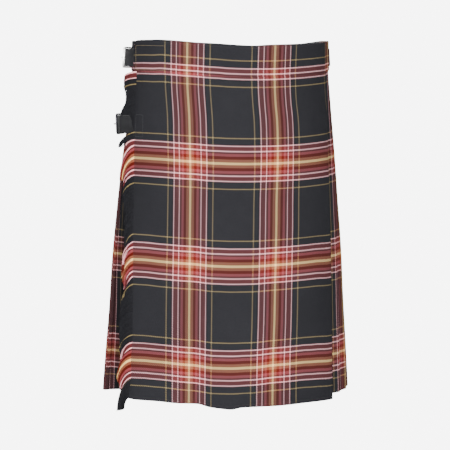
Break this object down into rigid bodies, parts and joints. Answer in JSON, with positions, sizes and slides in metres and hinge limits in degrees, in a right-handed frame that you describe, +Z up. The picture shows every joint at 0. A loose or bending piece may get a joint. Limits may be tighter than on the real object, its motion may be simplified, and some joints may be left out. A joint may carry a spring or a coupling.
{
  "type": "scottish kilt",
  "caption": "Knee-length tartan kilt in worn form, open at waist and hem: flat apron with a fringed edge, knife pleats round the back and buckled leather straps.",
  "frame": {"origin": "middle of the waist opening, level with the waistband's top edge at the sides, where a waist or a form holds it", "axes": "+Z up out of the waist, +X to the wearer's left, -Y out of the front apron"},
  "size_m": [0.43, 0.3408, 0.6373],
  "materials": {
    "tartan": "twill-woven check, soft and matte",
    "fringe": "unravelled yarn, matte",
    "strap_leather": "black, lightly grained, low sheen",
    "buckle_metal": "polished nickel plate"
  },
  "bodies": {
    "root": {"over_apron": "tartan", "under_apron": "tartan", "pleats_1": "tartan", "pleats_2": "tartan", "pleats_3": "tartan", "pleats_4": "tartan", "waistband_front": "tartan", "waistband_back": "tartan", "waistband_under": "tartan", "fringe": "fringe", "waist_strap_right": "strap_leather", "hip_strap_right": "strap_leather", "waist_strap_left": "strap_leather", "buckle_tab_waist_right": "strap_leather", "keeper_waist_right": "strap_leather", "buckle_waist_right": "buckle_metal", "prong_waist_right": "buckle_metal", "buckle_tab_hip_right": "strap_leather", "keeper_hip_right": "strap_leather", "buckle_hip_right": "buckle_metal", "prong_hip_right": "buckle_metal", "buckle_tab_waist_left": "strap_leather", "keeper_waist_left": "strap_leather", "buckle_waist_left": "buckle_metal", "prong_waist_left": "buckle_metal"}
  },
  "joints": []
}
